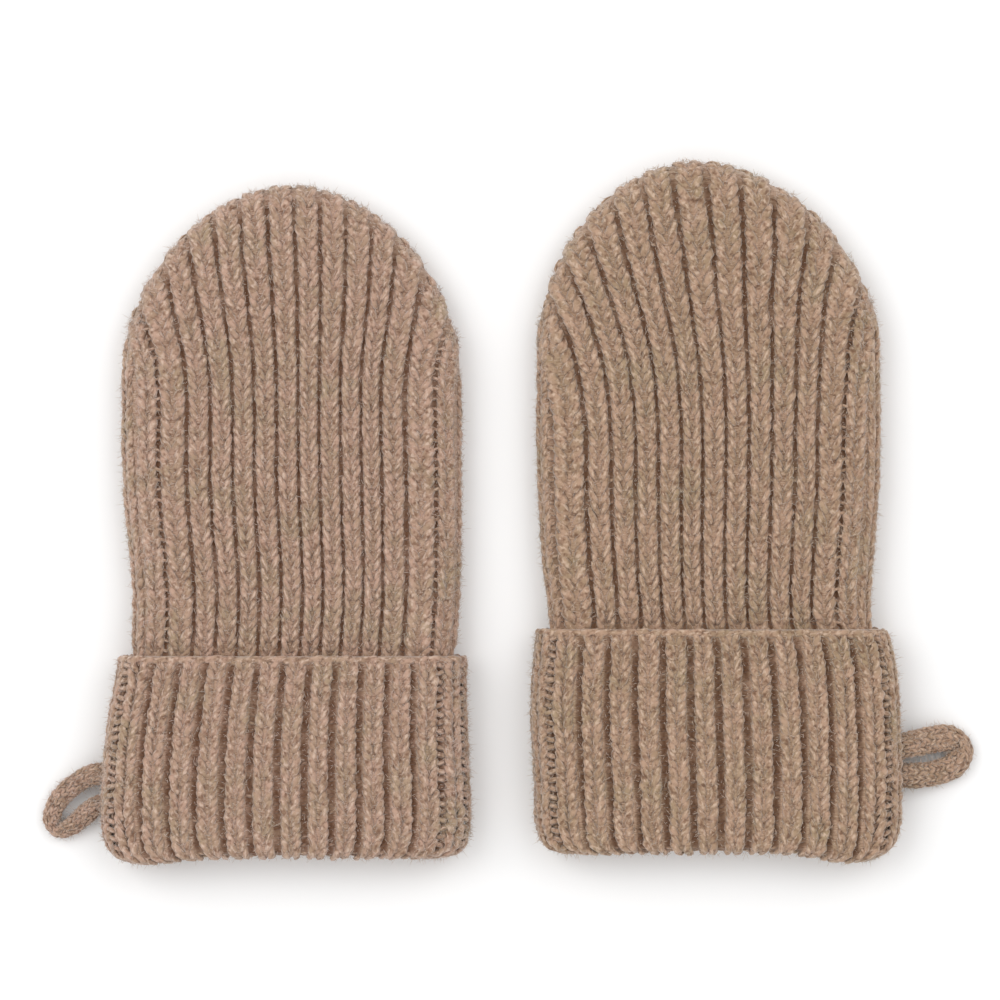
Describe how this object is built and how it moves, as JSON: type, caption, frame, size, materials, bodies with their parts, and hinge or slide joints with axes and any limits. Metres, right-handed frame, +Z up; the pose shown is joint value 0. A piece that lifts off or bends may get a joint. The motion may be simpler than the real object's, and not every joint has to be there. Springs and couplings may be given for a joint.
{
  "type": "pair of baby mittens",
  "caption": "Thumbless baby mittens in mottled taupe wool rib, laid flat side by side, with domed tips, turned-up cuffs and a knitted loop on each cuff.",
  "frame": {"origin": "on the surface the pair lies on, under the middle of its box", "axes": "+X across the pair to the right in the picture, +Y from the cuffs to the fingertips, +Z up from the surface"},
  "size_m": [0.196, 0.1478, 0.0139],
  "materials": {
    "left_wool": "matt mottled taupe wool in a one-by-one rib, slightly fuzzy",
    "right_wool": "matt mottled taupe wool in a one-by-one rib, slightly fuzzy and a little browner"
  },
  "bodies": {
    "root": {"left_hand": "left_wool", "left_cuff": "left_wool", "left_loop": "left_wool", "right_hand": "right_wool", "right_cuff": "right_wool", "right_loop": "right_wool"}
  },
  "joints": []
}
